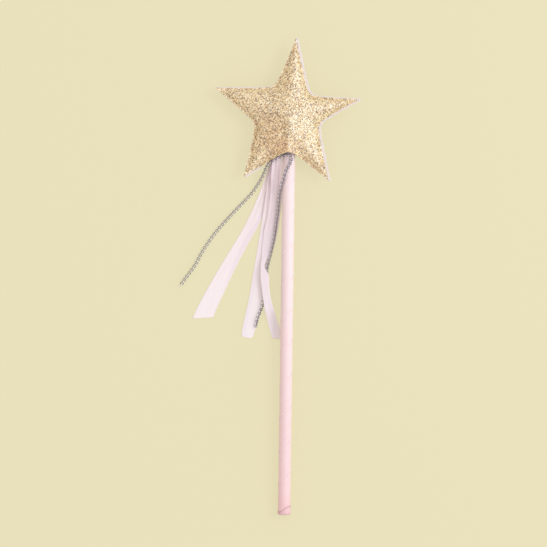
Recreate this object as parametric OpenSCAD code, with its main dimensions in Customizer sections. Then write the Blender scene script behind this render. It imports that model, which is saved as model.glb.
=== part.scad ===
// Toy magic wand: a puffed glitter star on a ribbon-wound stick, with three ribbon
// streamers and a fine link chain hanging from the mouth of the star.
// The wand lies on a table, front face up. Millimetres, +Z up, +Y towards the star.

/* [Stick] */
// Distance from the butt to the centre of the star
star_y = 292.5; // [240:0.5:340]
// Diameter of the wooden dowel
core_d = 8; // [7:0.1:9]
// Thickness of the ribbon wound on the dowel
wrap_t = 0.55; // [0.4:0.05:0.8]
// Rise of the wound ribbon in one turn
wrap_pitch = 24; // [18:0.5:30]
// Gap between neighbouring turns, measured along the stick
wrap_gap = 0.7; // [0.6:0.05:1.2]
// Height on the front where the first seam of the winding shows
wrap_seam_y = 27; // [22:0.5:32]
// Length of the closed turn of ribbon at the butt
butt_turn_l = 14; // [10:0.5:20]
// Thickness of the ribbon end folded over the butt
butt_fold_t = 0.6; // [0.4:0.05:1]

/* [Star] */
// Mean reach of the five tips from the centre
star_reach = 56; // [50:0.5:62]
// Mean reach of the five corners between the arms, before they are rounded
notch_reach = 22; // [20:0.1:24]
// Rounding of the corners between the arms
notch_round = 3; // [2:0.1:4]
// Height of the front face above the seam, beside the fold
front_crown = 9; // [8:0.1:11]
// Depth of the back face below the seam
back_crown = 10.3; // [9.5:0.1:12]
// Thickness of the glitter fabric
panel_t = 0.5; // [0.3:0.05:0.8]
// How far the table presses the back face flat
rest_press = 0.5; // [0.2:0.05:0.8]
// How far the pale seam strip stands out past the fabric
strip_out = 0.8; // [0.3:0.05:1.2]
// How much further it stands out to the right, where it was sewn in askew
strip_aside = 1; // [0:0.05:1.4]
// Thickness of the seam strip
strip_t = 0.3; // [0.2:0.05:0.5]

/* [Mouth] */
// Rise of the front lip above the seam, over the stick
lip_rise = 7.2; // [7:0.1:8.5]
// Drop of the back lip below the seam, under the stick
lip_drop = 6.3; // [6:0.1:7.5]
// Length of the glue plug along the stick
glue_l = 6; // [4:0.5:8]
// Radius of the glue around the stick
glue_r = 5.6; // [5.3:0.05:5.9]

/* [Streamers] */
// Thickness of a streamer
ribbon_t = 0.3; // [0.2:0.02:0.4]
// Step in height between streamers that lie on one another
ribbon_step = 0.6; // [0.5:0.02:0.8]
// Length of the streamer ends tucked in the glue
tuck_l = 9; // [7:0.5:11]

/* [Chain] */
// Outside diameter of a chain link
link_od = 2.7; // [2.4:0.05:2.8]
// Diameter of the link wire
wire_d = 0.5; // [0.4:0.02:0.55]
// Play between two hooked links
link_slack = 0.15; // [0.1:0.01:0.25]

/* [Hidden] */
$fn = 48;

// Clearances
glue_line = 0.15;      // between the dowel and the ribbon wound on it
end_line = 0.05;       // between pieces that butt together
fill_gap = 0.3;        // between the filling and the fabric
lie_gap = 0.05;        // under what lies on the table
chain_gap = 0.1;       // between the chain and what it lies on
pivot_gap = 0.8;       // between a streamer and its tucked end

// Stick
core_r = core_d / 2;
wrap_in_r = core_r + glue_line;
wrap_r = wrap_in_r + wrap_t;
wrap_start = butt_turn_l + end_line;

// How the wand lies: on the butt and on the flattened back of the star
rest_h = back_crown + panel_t - rest_press;
tilt = asin((rest_h - wrap_r) / star_y);
lift = wrap_r * cos(tilt);
function axis_z(y) = lift + y * sin(tilt);
function table_z(y) = -axis_z(y) / cos(tilt);

// Outline of the star, hand cut: the arms differ a little in reach and in turn
arm_ratio = [1.016, 0.93, 0.976, 0.986, 1.037];
arm_turn = [4, 3.6, 4, 0.5, 2];
notch_ratio = [0.88, 0.9, 1.0688, 1.09, 1.022];
notch_turn = [7, -3.5, -1, 5, 8.5];
arm_steps = 12;
rim_n = 5 * arm_steps;
mouth_n = 2.5 * arm_steps;
function tip_r(i) = star_reach * arm_ratio[i % 5];
function tip_a(i) = 72 * i + arm_turn[i % 5];
function notch_r(i) = notch_reach * notch_ratio[i % 5];
function notch_a(i) = 72 * i + 36 + notch_turn[i % 5];
function mix(a, b, t) = a + (b - a) * t;
function clamp01(t) = min(1, max(0, t));
function smooth(t) = let (c = clamp01(t)) c * c * (3 - 2 * c);
// Distance at angle a to the line through two points given by reach and angle
function line_r(r1, a1, r2, a2, a) =
    r1 * r2 * sin(a2 - a1) / (r1 * sin(a - a1) + r2 * sin(a2 - a));
function rim_a(n) =
    let (m = n % rim_n, i = floor(m / arm_steps), f = 2 * (m - i * arm_steps) / arm_steps)
    f < 1 ? mix(tip_a(i), notch_a(i), f) : mix(notch_a(i), tip_a(i + 1), f - 1);
function rim_r(n) =
    let (i = floor((n % rim_n) / arm_steps), a = rim_a(n),
         p = line_r(tip_r(i), tip_a(i), notch_r(i), notch_a(i), a),
         q = line_r(notch_r(i), notch_a(i), tip_r(i + 1), tip_a(i + 1), a))
    (p + q) / 2 + sqrt(pow((p - q) / 2, 2) + pow(notch_round, 2));

// Contours run from the rim star at u = 1 to a circle near the centre
heart_r = 30;
heart_pow = 1.3;
function star_r(u, n) = u * (heart_r + (rim_r(n) - heart_r) * pow(u, heart_pow));
function star_xy(u, n) = star_r(u, n) * [sin(rim_a(n)), cos(rim_a(n))];

// Height of the two faces: a puffed crown, a ridge that opens into the mouth, and over the
// stick a fold that draws the front up
flange_ratio = 0.95;
puff_pow = 0.7;
seam_half = strip_t / 2 + end_line;
mouth_dy = -star_r(1, mouth_n);
mouth_y = star_y + mouth_dy;
lip_x = -1;            // middle of the front lip
lip_left = 19;         // reach of the front lip to the left and to the right
lip_right = 12;
lip_run = 16;          // length over which the lip turns into the ridge over the stick
ridge_w = 18;          // reach of the ridge to either side
ridge_end = 12;        // how far past the centre the ridge fades out
back_lip_x = -5;       // middle of the back lip
back_lip_w = 14;       // reach of the back lip to either side
fold_x = -0.7;         // the fold over the stick
fold_w = 17;           // reach of the fold to either side
fold_end = 14;         // how far past the centre the fold fades out
fold_run = 15;         // length over which it fades
fold_ratio = 0.36;     // how much higher it is than the face beside it
function puff(u) = u >= flange_ratio ? 0 : pow(1 - pow(u / flange_ratio, 2), puff_pow);
function hump(x, c, left, right, p) =
    let (s = x < c ? (c - x) / left : (x - c) / right) s >= 1 ? 0 : 1 - pow(s, p);
function blend(a, b) = pow(pow(a, 4) + pow(b, 4), 0.25);
function ridge(x, y) =
    let (t = smooth((y - mouth_dy) / lip_run))
    lip_rise * smooth((ridge_end - y) / (2 * ridge_end)) * hump(x, mix(lip_x, 0, t),
        mix(lip_left, ridge_w, t), mix(lip_right, ridge_w, t), mix(1.6, 1.3, t));
function fold(x, y) =
    1 + fold_ratio * smooth((fold_end - y) / fold_run) * max(0, 1 - abs(x - fold_x) / fold_w);
function trough(x, y) = lip_drop * hump(x, back_lip_x, back_lip_w, back_lip_w, 3)
    * (1 - smooth((y - mouth_dy) / (2 * lip_run)));
function front_z(u, xy) =
    seam_half + fold(xy.x, xy.y) * blend(front_crown * puff(u), ridge(xy.x, xy.y));
function back_z(u, xy) =
    max(table_z(star_y + xy.y) + panel_t,
        -seam_half - blend(back_crown * puff(u), trough(xy.x, xy.y)));

// Curve through hand-chosen points
function spline(p, i, t) =
    let (e = len(p) - 1, a = p[max(i - 1, 0)], b = p[i], c = p[i + 1], d = p[min(i + 2, e)])
    0.5 * (2 * b + (c - a) * t + (2 * a - 5 * b + 4 * c - d) * t * t
        + (3 * b - a - 3 * c + d) * t * t * t);
function curve(p, steps) = [
    for (i = [0 : len(p) - 2]) for (s = [0 : steps - 1]) spline(p, i, s / steps),
    p[len(p) - 1]
];
function run_of(c) = [
    for (i = 0, s = 0; i < len(c); s = s + norm(c[min(i + 1, len(c) - 1)] - c[i]), i = i + 1) s
];
function along(c, run, d) = [
    for (k = [0 : len(c[0]) - 1]) lookup(d, [for (i = [0 : len(c) - 1]) [run[i], c[i][k]]])
];

// Streamers: across, along from the mouth, height, shown width, depth of the gathers, and
// turn of the cut in degrees. They leave the mouth as a gathered stack and lie down flat
// towards their free ends.
pivot = [-9, -2.5];
mouth_z = axis_z(mouth_y);
low = lie_gap + ribbon_t / 2;
left_z = low;
middle_z = low + ribbon_step;
right_z = low + 2 * ribbon_step;
root_w = 5;
left_path = [
    [pivot.x, pivot.y, mouth_z - 3.3, root_w, 1.2, 0],
    [-10.5, -9, 5.1, 7, 1.4, 0],
    [-13.2, -18, 3.2, 7.5, 1.4, 0],
    [-16.2, -27, 1.75, 7.5, 1.2, 0],
    [-21.6, -42, 0.55, 8.4, 0.4, 0],
    [-25.7, -51.5, 0.35, 9, 0.1, 0],
    [-30.5, -60.5, left_z, 8.5, 0, 0],
    [-41, -79.5, left_z, 9.7, 0, 0],
    [-51, -99, left_z, 11.8, 0, 0],
    [-58.9, -115, left_z, 13.2, 0, 10],
    [-61.8, -122.3, left_z, 15.2, 0, 25]
];
middle_path = [
    [pivot.x, pivot.y, mouth_z - 1.4, root_w, 1.2, 0],
    [-9.8, -9, 7.1, 6.4, 1.4, 0],
    [-10.7, -16, 5.75, 7.5, 1.4, 0],
    [-11.8, -26, 3.95, 8, 1.3, 0],
    [-13.4, -41, 1.9, 9, 0.8, 0],
    [-15, -56, 1, 9.8, 0.2, 0],
    [-17.2, -71, middle_z, 9.8, 0, 0],
    [-20, -89, middle_z, 9.9, 0, 0],
    [-22.8, -108, middle_z, 10.2, 0, 0],
    [-25.6, -121, middle_z, 10, 0, 0],
    [-28, -131, middle_z, 9.2, 0, 0],
    [-28.9, -134.7, middle_z, 8.2, 0, 0],
    [-29.2, -136.3, middle_z, 5.6, 0, 0]
];
over_chain = middle_z + 3.6;
right_path = [
    [pivot.x, pivot.y, mouth_z + 0.5, root_w, 1.2, 0],
    [-8.6, -9, 9.1, 7.5, 1.4, 0],
    [-8.9, -18, 7.5, 8, 1.3, 0],
    [-8.8, -29, 5.3, 8.4, 1.1, 0],
    [-10.6, -47, 2.65, 9, 0.7, 0],
    [-12.4, -57, 1.9, 9.6, 0.4, 0],
    [-14.5, -69, right_z, 8.6, 0, 0],
    [-17.1, -78, 2.2, 3.8, 0, 0],
    [-18.2, -84, 3.6, 2.8, 0, 0],
    [-16.6, -91, over_chain, 6, 0, 0],
    [-16, -98, over_chain, 5.4, 0, 0],
    [-14.6, -108, over_chain, 5.6, 0, 0],
    [-13.2, -114, 4, 6.4, 0, 0],
    [-11, -122, 1.8, 6.6, 0, 0],
    [-8.8, -129, right_z, 7.4, 0, -6],
    [-6.4, -137, right_z, 8, 0, -24]
];
streamer_steps = 2;
across_n = 8;
gathers = 2;           // waves across a streamer

// Chain: one run of links from the free left end, up over the stick in the mouth and
// down to the free right end
link_r = (link_od - wire_d) / 2;
link_pitch = link_od - 2 * wire_d - link_slack;
link_lean = 10;        // roll of the first link
link_twist = 0.15;     // slow twist along the chain, each link
chain_low = lie_gap + link_od / 2;
chain_mid = middle_z + ribbon_t / 2 + 3 * chain_gap + link_od / 2;
on_stick_r = wrap_r + chain_gap + link_od / 2;
function on_stick(p) = [p.x, p.y,
    axis_z(mouth_y + p.y) + sqrt(pow(on_stick_r, 2) - min(pow(p.x, 2), pow(on_stick_r, 2)))];
left_run = [
    [-79.28, -99.54, chain_low],
    [-74, -92, chain_low],
    [-68, -83.5, chain_low],
    [-62.5, -73, chain_low],
    [-54.5, -61, chain_low],
    [-47.5, -52.5, chain_low],
    [-38, -42, chain_low],
    [-31, -34.5, chain_low],
    [-26.5, -29.5, 1.5],
    [-22.9, -24, 2.3],
    [-19.4, -18, 4.6],
    [-16.8, -12, 7.8]
];
neck_rise = [
    [-14.8, -8.2, 10.4],
    [-11.6, -5.6, 12.5],
    [-7.8, -3.8, 13.9]
];
neck_over = [[-4.2, -2.5], [-1.9, -1.5], [1, -2.5]];
right_over = [[1.7, -5.4], [0.7, -8.7], [-1.2, -12], [-3, -16.5], [-4.4, -21], [-5.4, -25]];
right_fall = [
    [-6.4, -30, 9.6],
    [-7, -36, 7.2],
    [-7.4, -42, 5.8],
    [-8.4, -50, 4.4],
    [-9.4, -59, 3.6],
    [-10.6, -66, 3.4],
    [-12.2, -74, 3.2],
    [-13.8, -80, 2.9],
    [-15, -86, chain_mid],
    [-15.2, -92, chain_mid],
    [-15.3, -98, chain_mid],
    [-17.2, -108, chain_mid],
    [-18.4, -114, chain_mid],
    [-21, -121, chain_mid],
    [-22.2, -126, chain_mid],
    [-23, -129, chain_mid]
];
neck_run = concat(neck_rise, [for (p = neck_over) on_stick(p)]);
right_run = concat([for (p = right_over) on_stick(p)], right_fall);
chain_curve = curve(concat(left_run, neck_run, right_run), 6);
chain_len = run_of(chain_curve);
left_len = chain_len[6 * len(left_run)];
neck_len = chain_len[6 * (len(left_run) + len(neck_run))];
links_left = floor(left_len / link_pitch);
links_neck = floor(neck_len / link_pitch);
links_all = floor(chain_len[len(chain_len) - 1] / link_pitch);
function link_at(k) = along(chain_curve, chain_len, k * link_pitch);
function hook_at(k) = (link_at(k) + link_at(k + 1)) / 2;

// Row frame: the origin lies on the table under the middle of stick and star
mid_y = (star_y + tip_r(0) * cos(tip_a(0)) + strip_out) / 2;
module on_table() translate([0, mouth_y * cos(tilt) - mid_y, 0]) children();
module on_wand() translate([0, -mid_y, lift]) rotate([tilt, 0, 0]) children();
module at_star() on_wand() translate([0, star_y, 0]) children();
// A stick-long piece of revolution between two heights on the stick
module round_stick(y, l, r) translate([0, y + l, 0]) rotate([90, 0, 0]) cylinder(h = l, r = r);

// Closed solid between an upper and a lower star face, with rings of points at each u
ring_ratios = [0.12, 0.25, 0.4, 0.55, 0.7, 0.82, 0.9, 0.95, 1];
module star_solid(us, upper, lower) {
    count = len(us) * rim_n;
    function face_points(height) = [
        [0, 0, height(0, [0, 0])],
        for (u = us) for (n = [0 : rim_n - 1]) let (p = star_xy(u, n)) [p.x, p.y, height(u, p)]
    ];
    function at(ring, n) = 1 + ring * rim_n + n % rim_n;
    function face(shift, up) = [
        for (n = [0 : rim_n - 1]) let (f = [shift, shift + at(0, n), shift + at(0, n + 1)])
            up ? f : [f[0], f[2], f[1]],
        for (k = [0 : len(us) - 2]) for (n = [0 : rim_n - 1]) let (
            a = shift + at(k, n), b = shift + at(k + 1, n),
            c = shift + at(k + 1, n + 1), d = shift + at(k, n + 1))
            each up ? [[a, b, c], [a, c, d]] : [[a, c, b], [a, d, c]]
    ];
    last = len(us) - 1;
    side = [
        for (n = [0 : rim_n - 1]) let (
            a = at(last, n), b = at(last, n + 1), c = a + count + 1, d = b + count + 1)
            each [[a, c, b], [b, c, d]]
    ];
    polyhedron(concat(face_points(upper), face_points(lower)),
        concat(face(0, true), face(count + 1, false), side));
}

// Closed bar through flat sections, each a list of points along one side and back along the other
module bar(sections) {
    m = len(sections[0]);
    e = len(sections) - 1;
    sides = [
        for (i = [0 : e - 1]) for (j = [0 : m - 1]) let (
            a = i * m + j, b = i * m + (j + 1) % m, c = a + m, d = b + m)
            each [[a, b, c], [b, d, c]]
    ];
    function cap(k) = [
        for (j = [0 : m / 2 - 2]) each [
            [k + j, k + m - 2 - j, k + j + 1], [k + j, k + m - 1 - j, k + m - 2 - j]
        ]
    ];
    stop = [for (f = cap(e * m)) [f[0], f[2], f[1]]];
    polyhedron([for (s = sections) each s], concat(sides, cap(0), stop));
}

module stick_core() color("burlywood") on_wand()
    round_stick(butt_fold_t + end_line, star_y - butt_fold_t - end_line, core_r);

// The ribbon climbs the stick as one band; its edges are cut square at both ends
wrap_end = mouth_y + glue_l + 2;
wrap_step = 15;
wrap_half = (wrap_pitch - wrap_gap) / 2;
wrap_first = 0.8;      // width of the band where it starts and stops
function wrap_mid(a) = wrap_seam_y - wrap_pitch / 2 + wrap_pitch * a / 360;
function wrap_low(a) = max(wrap_start, wrap_mid(a) - wrap_half);
function wrap_high(a) = min(wrap_end, wrap_mid(a) + wrap_half);
function wrap_turn(y) = 360 * (y - wrap_seam_y + wrap_pitch / 2) / wrap_pitch;
wrap_a0 = wrap_step * ceil(wrap_turn(wrap_start + wrap_first - wrap_half) / wrap_step);
wrap_a1 = wrap_step * floor(wrap_turn(wrap_end - wrap_first + wrap_half) / wrap_step);
function on_round(r, a, y) = [r * sin(a), y, r * cos(a)];
function turn_gap(a) = min([
    for (b = [a - wrap_step : 1 : a + wrap_step])
        norm(on_round(wrap_r, a, wrap_high(a)) - on_round(wrap_r, b, wrap_low(b + 360)))
]);
echo(least_gap_between_turns = min([
    for (a = [wrap_a0 + 180 : wrap_step : wrap_a1 - 540]) turn_gap(a)
]));
module stick_wrap() color([0.98, 0.83, 0.84]) on_wand() bar([
    for (a = [wrap_a0 : wrap_step : wrap_a1]) [
        on_round(wrap_in_r, a, wrap_low(a)), on_round(wrap_in_r, a, wrap_high(a)),
        on_round(wrap_r, a, wrap_high(a)), on_round(wrap_r, a, wrap_low(a))
    ]
]);

module butt_turn() color([0.96, 0.78, 0.8]) on_wand() difference() {
    round_stick(butt_fold_t + end_line, butt_turn_l - butt_fold_t - end_line, wrap_r);
    round_stick(0, butt_turn_l + 1, wrap_in_r);
}

module butt_fold() color([0.85, 0.66, 0.69]) on_wand() round_stick(0, butt_fold_t, wrap_r);

module star_front_panel() color([0.87, 0.78, 0.6]) at_star() star_solid(ring_ratios,
    function (u, p) front_z(u, p) + panel_t,
    function (u, p) front_z(u, p));

module star_back_panel() color([0.84, 0.74, 0.55]) at_star() star_solid(ring_ratios,
    function (u, p) back_z(u, p),
    function (u, p) back_z(u, p) - panel_t);

// Soft filling behind the mouth, pushed on to the bare end of the dowel
fill_ratios = [0.15, 0.32, 0.5, 0.68, 0.8, 0.88];
fill_start = wrap_end + end_line;
module star_filling() color("whitesmoke") on_wand() difference() {
    translate([0, star_y, 0]) star_solid(fill_ratios,
        function (u, p) front_z(u, p) - fill_gap,
        function (u, p) back_z(u, p) + fill_gap);
    translate([-star_reach, star_y - 2 * star_reach, -star_reach])
        cube([2 * star_reach, fill_start - star_y + 2 * star_reach, 2 * star_reach]);
    round_stick(fill_start - 1, star_y - fill_start + 1 + fill_gap, core_r + glue_line);
}

// Pale strip between the two panels, open at the mouth
strip_in = 1.3;        // how far the strip reaches in between the panels
mouth_left = -20.5;
mouth_right = 11.5;
function in_mouth(n) = let (p = star_xy(1, n)) p.y < 0 && p.x > mouth_left && p.x < mouth_right;
function away(n) =
    let (d = star_xy(1, n + 1) - star_xy(1, n + rim_n - 1)) [-d.y, d.x] / norm(d);
strip_rim = [for (n = [mouth_n : mouth_n + rim_n]) if (!in_mouth(n)) n];
module seam_strip() color([0.93, 0.9, 0.91]) at_star() bar([
    for (n = strip_rim) let (
        out = star_xy(1, n) + strip_out * away(n) + [strip_aside, 0],
        in = star_xy(1, n) - strip_in * away(n), h = strip_t / 2)
        [[in.x, in.y, -h], [in.x, in.y, h], [out.x, out.y, h], [out.x, out.y, -h]]
]);

// Hot-melt plug that holds the stick and the streamer ends in the mouth
glue_start = wrap_end - glue_l;
tuck_h = 1.4;
tuck_w = root_w - 0.4;
glue_pad = [-13, -3];  // left and right edge of the pad around the tucked ends
function tuck_z(k) = [-3.3, -1.4, 0.5][k];
module tuck_section(k, grow) translate([pivot.x, tuck_z(k)])
    square([tuck_w + 2 * grow, tuck_h + 2 * grow], center = true);
module mouth_glue() color([0.95, 0.93, 0.86]) on_wand()
    translate([0, glue_start + glue_l - end_line, 0]) rotate([90, 0, 0])
    linear_extrude(glue_l - end_line) difference() {
        union() {
            circle(glue_r);
            translate([glue_pad[0], tuck_z(0) - tuck_h]) square([glue_pad[1] - glue_pad[0],
                tuck_z(2) - tuck_z(0) + 2 * tuck_h]);
        }
        circle(wrap_r + end_line);
        for (k = [0 : 2]) tuck_section(k, end_line);
    }

// Ends of the streamers, folded small and set in the glue
module ribbon_tucks() color([0.95, 0.87, 0.89]) on_wand()
    translate([0, mouth_y + pivot.y + pivot_gap + tuck_l, 0]) rotate([90, 0, 0])
    for (k = [0 : 2]) linear_extrude(tuck_l) tuck_section(k, 0);

// One streamer: a thin gathered band swept along its path
module streamer(path) {
    c = curve(path, streamer_steps);
    e = len(c) - 1;
    function heading(i) = let (d = c[min(i + 1, e)] - c[max(i - 1, 0)]) [d.x, d.y] / norm([d.x, d.y]);
    function aside(i) = let (d = heading(i), a = c[i][5])
        [-d.y * cos(a) - d.x * sin(a), d.x * cos(a) - d.y * sin(a)];
    function point(i, t, h) = let (p = c[i], n = aside(i), w = t * p[3] / 2)
        [p.x + n.x * w, p.y + n.y * w, p.z + p[4] / 2 * cos(180 * gathers * t) + h];
    steps = [for (j = [0 : across_n]) 2 * j / across_n - 1];
    on_table() bar([
        for (i = [0 : e]) concat(
            [for (t = steps) point(i, t, -ribbon_t / 2)],
            [for (j = [across_n : -1 : 0]) point(i, steps[j], ribbon_t / 2)])
    ]);
}
module streamer_left() color([0.97, 0.91, 0.93]) streamer(left_path);
module streamer_middle() color([0.96, 0.89, 0.91]) streamer(middle_path);
module streamer_right() color([0.97, 0.92, 0.93]) streamer(right_path);

// Chain links: round rings, each turned a quarter against the one that it hooks into
module link() rotate_extrude() translate([link_r, 0]) circle(wire_d / 2);
module links(first, last) on_table() for (k = [first : last]) {
    d = link_at(k + 0.5) - link_at(k - 0.5);
    translate(link_at(k))
        rotate([link_lean + 90 * (k % 2) + link_twist * k,
            -atan2(d.z, norm([d.x, d.y])), atan2(d.y, d.x)])
        link();
}
module chain_left() color("lightslategray") links(1, links_left);
module chain_neck() color("slategray") links(links_left + 1, links_neck);
module chain_right() color("lightslategray") links(links_neck + 1, links_all - 1);
echo(streamer_pivot = [pivot.x, mouth_y * cos(tilt) - mid_y + pivot.y]);
echo(left_chain_hook = hook_at(links_left), right_chain_hook = hook_at(links_neck));
echo(table_shift = mouth_y * cos(tilt) - mid_y, tilt = tilt, wrap_r = wrap_r, mid_y = mid_y);

stick_core();
stick_wrap();
butt_turn();
butt_fold();
star_front_panel();
star_back_panel();
star_filling();
seam_strip();
mouth_glue();
ribbon_tucks();
streamer_left();
streamer_middle();
streamer_right();
chain_neck();
chain_left();
chain_right();
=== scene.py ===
# %% [markdown]
# # A toy wand with a glitter star
# The wand lies on a table and is seen from straight above. Its solids come from a packed
# CAD model. This lesson keeps them as a fixed frame and dresses them piece by piece: the
# chain, the ribbons, the wound stick, and the puffed star with its coat of glitter.

# %% The frame
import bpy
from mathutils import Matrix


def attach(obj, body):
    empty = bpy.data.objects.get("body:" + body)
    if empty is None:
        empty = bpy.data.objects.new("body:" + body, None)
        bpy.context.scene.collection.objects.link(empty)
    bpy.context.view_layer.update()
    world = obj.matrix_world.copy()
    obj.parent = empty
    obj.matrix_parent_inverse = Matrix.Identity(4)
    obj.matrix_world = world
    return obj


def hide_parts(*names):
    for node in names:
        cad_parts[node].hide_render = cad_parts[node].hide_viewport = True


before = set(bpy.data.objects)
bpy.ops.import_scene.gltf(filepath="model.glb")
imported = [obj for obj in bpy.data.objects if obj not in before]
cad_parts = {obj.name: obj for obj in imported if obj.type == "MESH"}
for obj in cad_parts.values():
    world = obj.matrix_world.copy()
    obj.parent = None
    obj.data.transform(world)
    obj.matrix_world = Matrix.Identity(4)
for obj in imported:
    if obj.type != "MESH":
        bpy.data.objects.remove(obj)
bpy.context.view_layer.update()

import math
import bpy
import numpy as np
from mathutils import Euler, Vector
from mathutils.geometry import delaunay_2d_cdt

MM = 0.001

# %% [markdown]
# ## Camera
# A flat-lay is shot from far above with a long lens, so that upright things hardly lean.
# An orthographic camera would do the same job, but a perspective one also looks natural
# from the side. It is turned by less than a degree, because the stick leans in the picture.

# %% Camera
IMAGE_PX = 547
MM_PER_PX = 0.7322
LEAN = math.radians(0.775)
CAMERA_HEIGHT = 2.2
AIM_X, AIM_Y = -10.2 * MM, 2.0 * MM
STAR_LEVEL = 12 * MM
SENSOR_MM = 36

lens_data = bpy.data.cameras.new("overhead_lens")
lens_data.sensor_width = SENSOR_MM
view_width = IMAGE_PX * MM_PER_PX * MM
lens_data.lens = lens_data.sensor_width * (CAMERA_HEIGHT - STAR_LEVEL) / view_width
overhead = bpy.data.objects.new("overhead", lens_data)
overhead.location = (AIM_X, AIM_Y, CAMERA_HEIGHT)
overhead.rotation_euler = (0, 0, LEAN)
bpy.context.scene.collection.objects.link(overhead)
bpy.context.scene.camera = overhead
print(f"lens {lens_data.lens:.0f} mm, view {view_width:.3f} m wide")

# %% [markdown]
# ## Table and light
# The table is one plain pale sheet. Part of its colour is its own glow, for the camera and
# for mirrors only, so that it keeps an even tone and still takes a soft shadow. The sky is
# brighter on the right, and a lamp there models the ridge of the star.

# %% Table
def linear(r, g, b):
    """A colour as a picture program gives it, 0 to 255, as Blender wants it."""
    parts = [c / 255 for c in (r, g, b)]
    return tuple(c / 12.92 if c <= 0.04045 else ((c + 0.055) / 1.055) ** 2.4
                 for c in parts) + (1,)


def node(tree, kind, settings=None, **inputs):
    """A node with its settings and its sockets: a socket links, a value is set."""
    made = tree.nodes.new("ShaderNode" + kind)
    for key, value in (settings or {}).items():
        setattr(made, key, value)
    for key, value in inputs.items():
        socket = made.inputs[key.replace("_", " ")]
        if isinstance(value, bpy.types.NodeSocket):
            tree.links.new(value, socket)
        else:
            socket.default_value = value
    return made


def seen_by(tree, *rays):
    """A socket that is 1 for these kinds of rays."""
    path = node(tree, "LightPath")
    total = path.outputs[rays[0]]
    for ray in rays[1:]:
        widest = node(tree, "Math", {"operation": "MAXIMUM"})
        tree.links.new(total, widest.inputs[0])
        tree.links.new(path.outputs[ray], widest.inputs[1])
        total = widest.outputs[0]
    return total


PALE_CREAM = linear(233, 225, 188)
GLOW_SHARE = 0.8

table_finish = bpy.data.materials.new("pale_table")
table_finish.use_nodes = True
tree = table_finish.node_tree
matt = tree.nodes["Principled BSDF"]
matt.inputs["Base Color"].default_value = PALE_CREAM
matt.inputs["Roughness"].default_value = 1.0
matt.inputs["Specular IOR Level"].default_value = 0.0
glow = node(tree, "Emission", Color=PALE_CREAM)
share = node(tree, "Math", {"operation": "MULTIPLY"})
watched = seen_by(tree, "Is Camera Ray", "Is Glossy Ray", "Is Transmission Ray")
tree.links.new(watched, share.inputs[0])
share.inputs[1].default_value = GLOW_SHARE
both = node(tree, "MixShader")
for socket, source in zip(both.inputs, (share, matt, glow)):
    tree.links.new(source.outputs[0], socket)
tree.links.new(both.outputs[0], tree.nodes["Material Output"].inputs["Surface"])

TABLE_HALF, TABLE_TOP = 4.0, -0.05 * MM
corners = ((-1, -1), (1, -1), (1, 1), (-1, 1))
table_mesh = bpy.data.meshes.new("table")
table_mesh.from_pydata(
    [(x * TABLE_HALF, y * TABLE_HALF, TABLE_TOP) for x, y in corners], [], [(0, 1, 2, 3)])
table_mesh.materials.append(table_finish)
table = bpy.data.objects.new("table", table_mesh)
bpy.context.scene.collection.objects.link(table)
print("table", 2 * TABLE_HALF, "m across")

# %% Light
def ramp(tree, factor, *stops):
    """Colours along a factor, each stop a place and a colour."""
    made = tree.nodes.new("ShaderNodeValToRGB")
    tree.links.new(factor, made.inputs["Fac"])
    steps = made.color_ramp.elements
    while len(steps) < len(stops):
        steps.new(0.5)
    for step, (place, colour) in zip(steps, stops):
        step.position, step.color = place, colour
    return made.outputs["Color"]


SKY = 1.28
SKY_LEFT, SKY_RIGHT = (0.55, 0.5, 0.455, 1), (0.83, 0.87, 0.9, 1)
LAMP_WATTS, LAMP_ACROSS = 5.3, 0.6
LAMP_AT, LAMP_AIM = Vector((0.95, 0.3, 1.05)), Vector((0, 0.08, 0))

world = bpy.data.worlds.new("studio")
world.use_nodes = True
bpy.context.scene.world = world
tree = world.node_tree
way = node(tree, "SeparateXYZ", Vector=node(tree, "TexCoord").outputs["Generated"])
level = node(tree, "MapRange", Value=way.outputs["X"], From_Min=-1.0)
sky = tree.nodes["Background"]
sky.inputs["Strength"].default_value = SKY
gradient = ramp(tree, level.outputs["Result"], (0.0, SKY_LEFT), (1.0, SKY_RIGHT))
tree.links.new(gradient, sky.inputs["Color"])

lamp_data = bpy.data.lights.new("window", "AREA")
lamp_data.shape = "DISK"
lamp_data.size = LAMP_ACROSS
lamp_data.energy = LAMP_WATTS
lamp_data.color = (0.96, 1.0, 1.02)
lamp = bpy.data.objects.new("window", lamp_data)
lamp.location = LAMP_AT
lamp.rotation_euler = (LAMP_AIM - LAMP_AT).to_track_quat("-Z", "Y").to_euler()
bpy.context.scene.collection.objects.link(lamp)
bpy.context.scene.view_settings.view_transform = "Standard"
print("sky", SKY, "lamp", LAMP_WATTS, "W")

# %% [markdown]
# ## The run of the chain
# The chain hangs in two drops from the mouth of the star, and a short neck of it crosses
# the stick. The solids give its route as points, and the same points are used here, so
# every link lies where its solid lies. The wand is tipped by about a degree, because it
# rests on its butt and on the back of the star: a small helper turns stick coordinates
# into table coordinates.

# %% Where the wand lies
STAR_Y = 292.5
WRAP_R = 4.7
REST_HEIGHT = 10.3
TILT = math.asin((REST_HEIGHT - WRAP_R) / STAR_Y)
LIFT = WRAP_R * math.cos(TILT)
MID_Y = 175.029
MOUTH_Y = 265.986


def on_wand(points):
    """Points in stick coordinates, y from the butt, as points on the table; all in mm."""
    x, y, z = np.asarray(points, float).T
    return np.stack([
        x, y * math.cos(TILT) - z * math.sin(TILT) - MID_Y,
        y * math.sin(TILT) + z * math.cos(TILT) + LIFT], axis=1)


TABLE_SHIFT = 90.9089
print("tilt", round(math.degrees(TILT), 3), "degrees")

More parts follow.
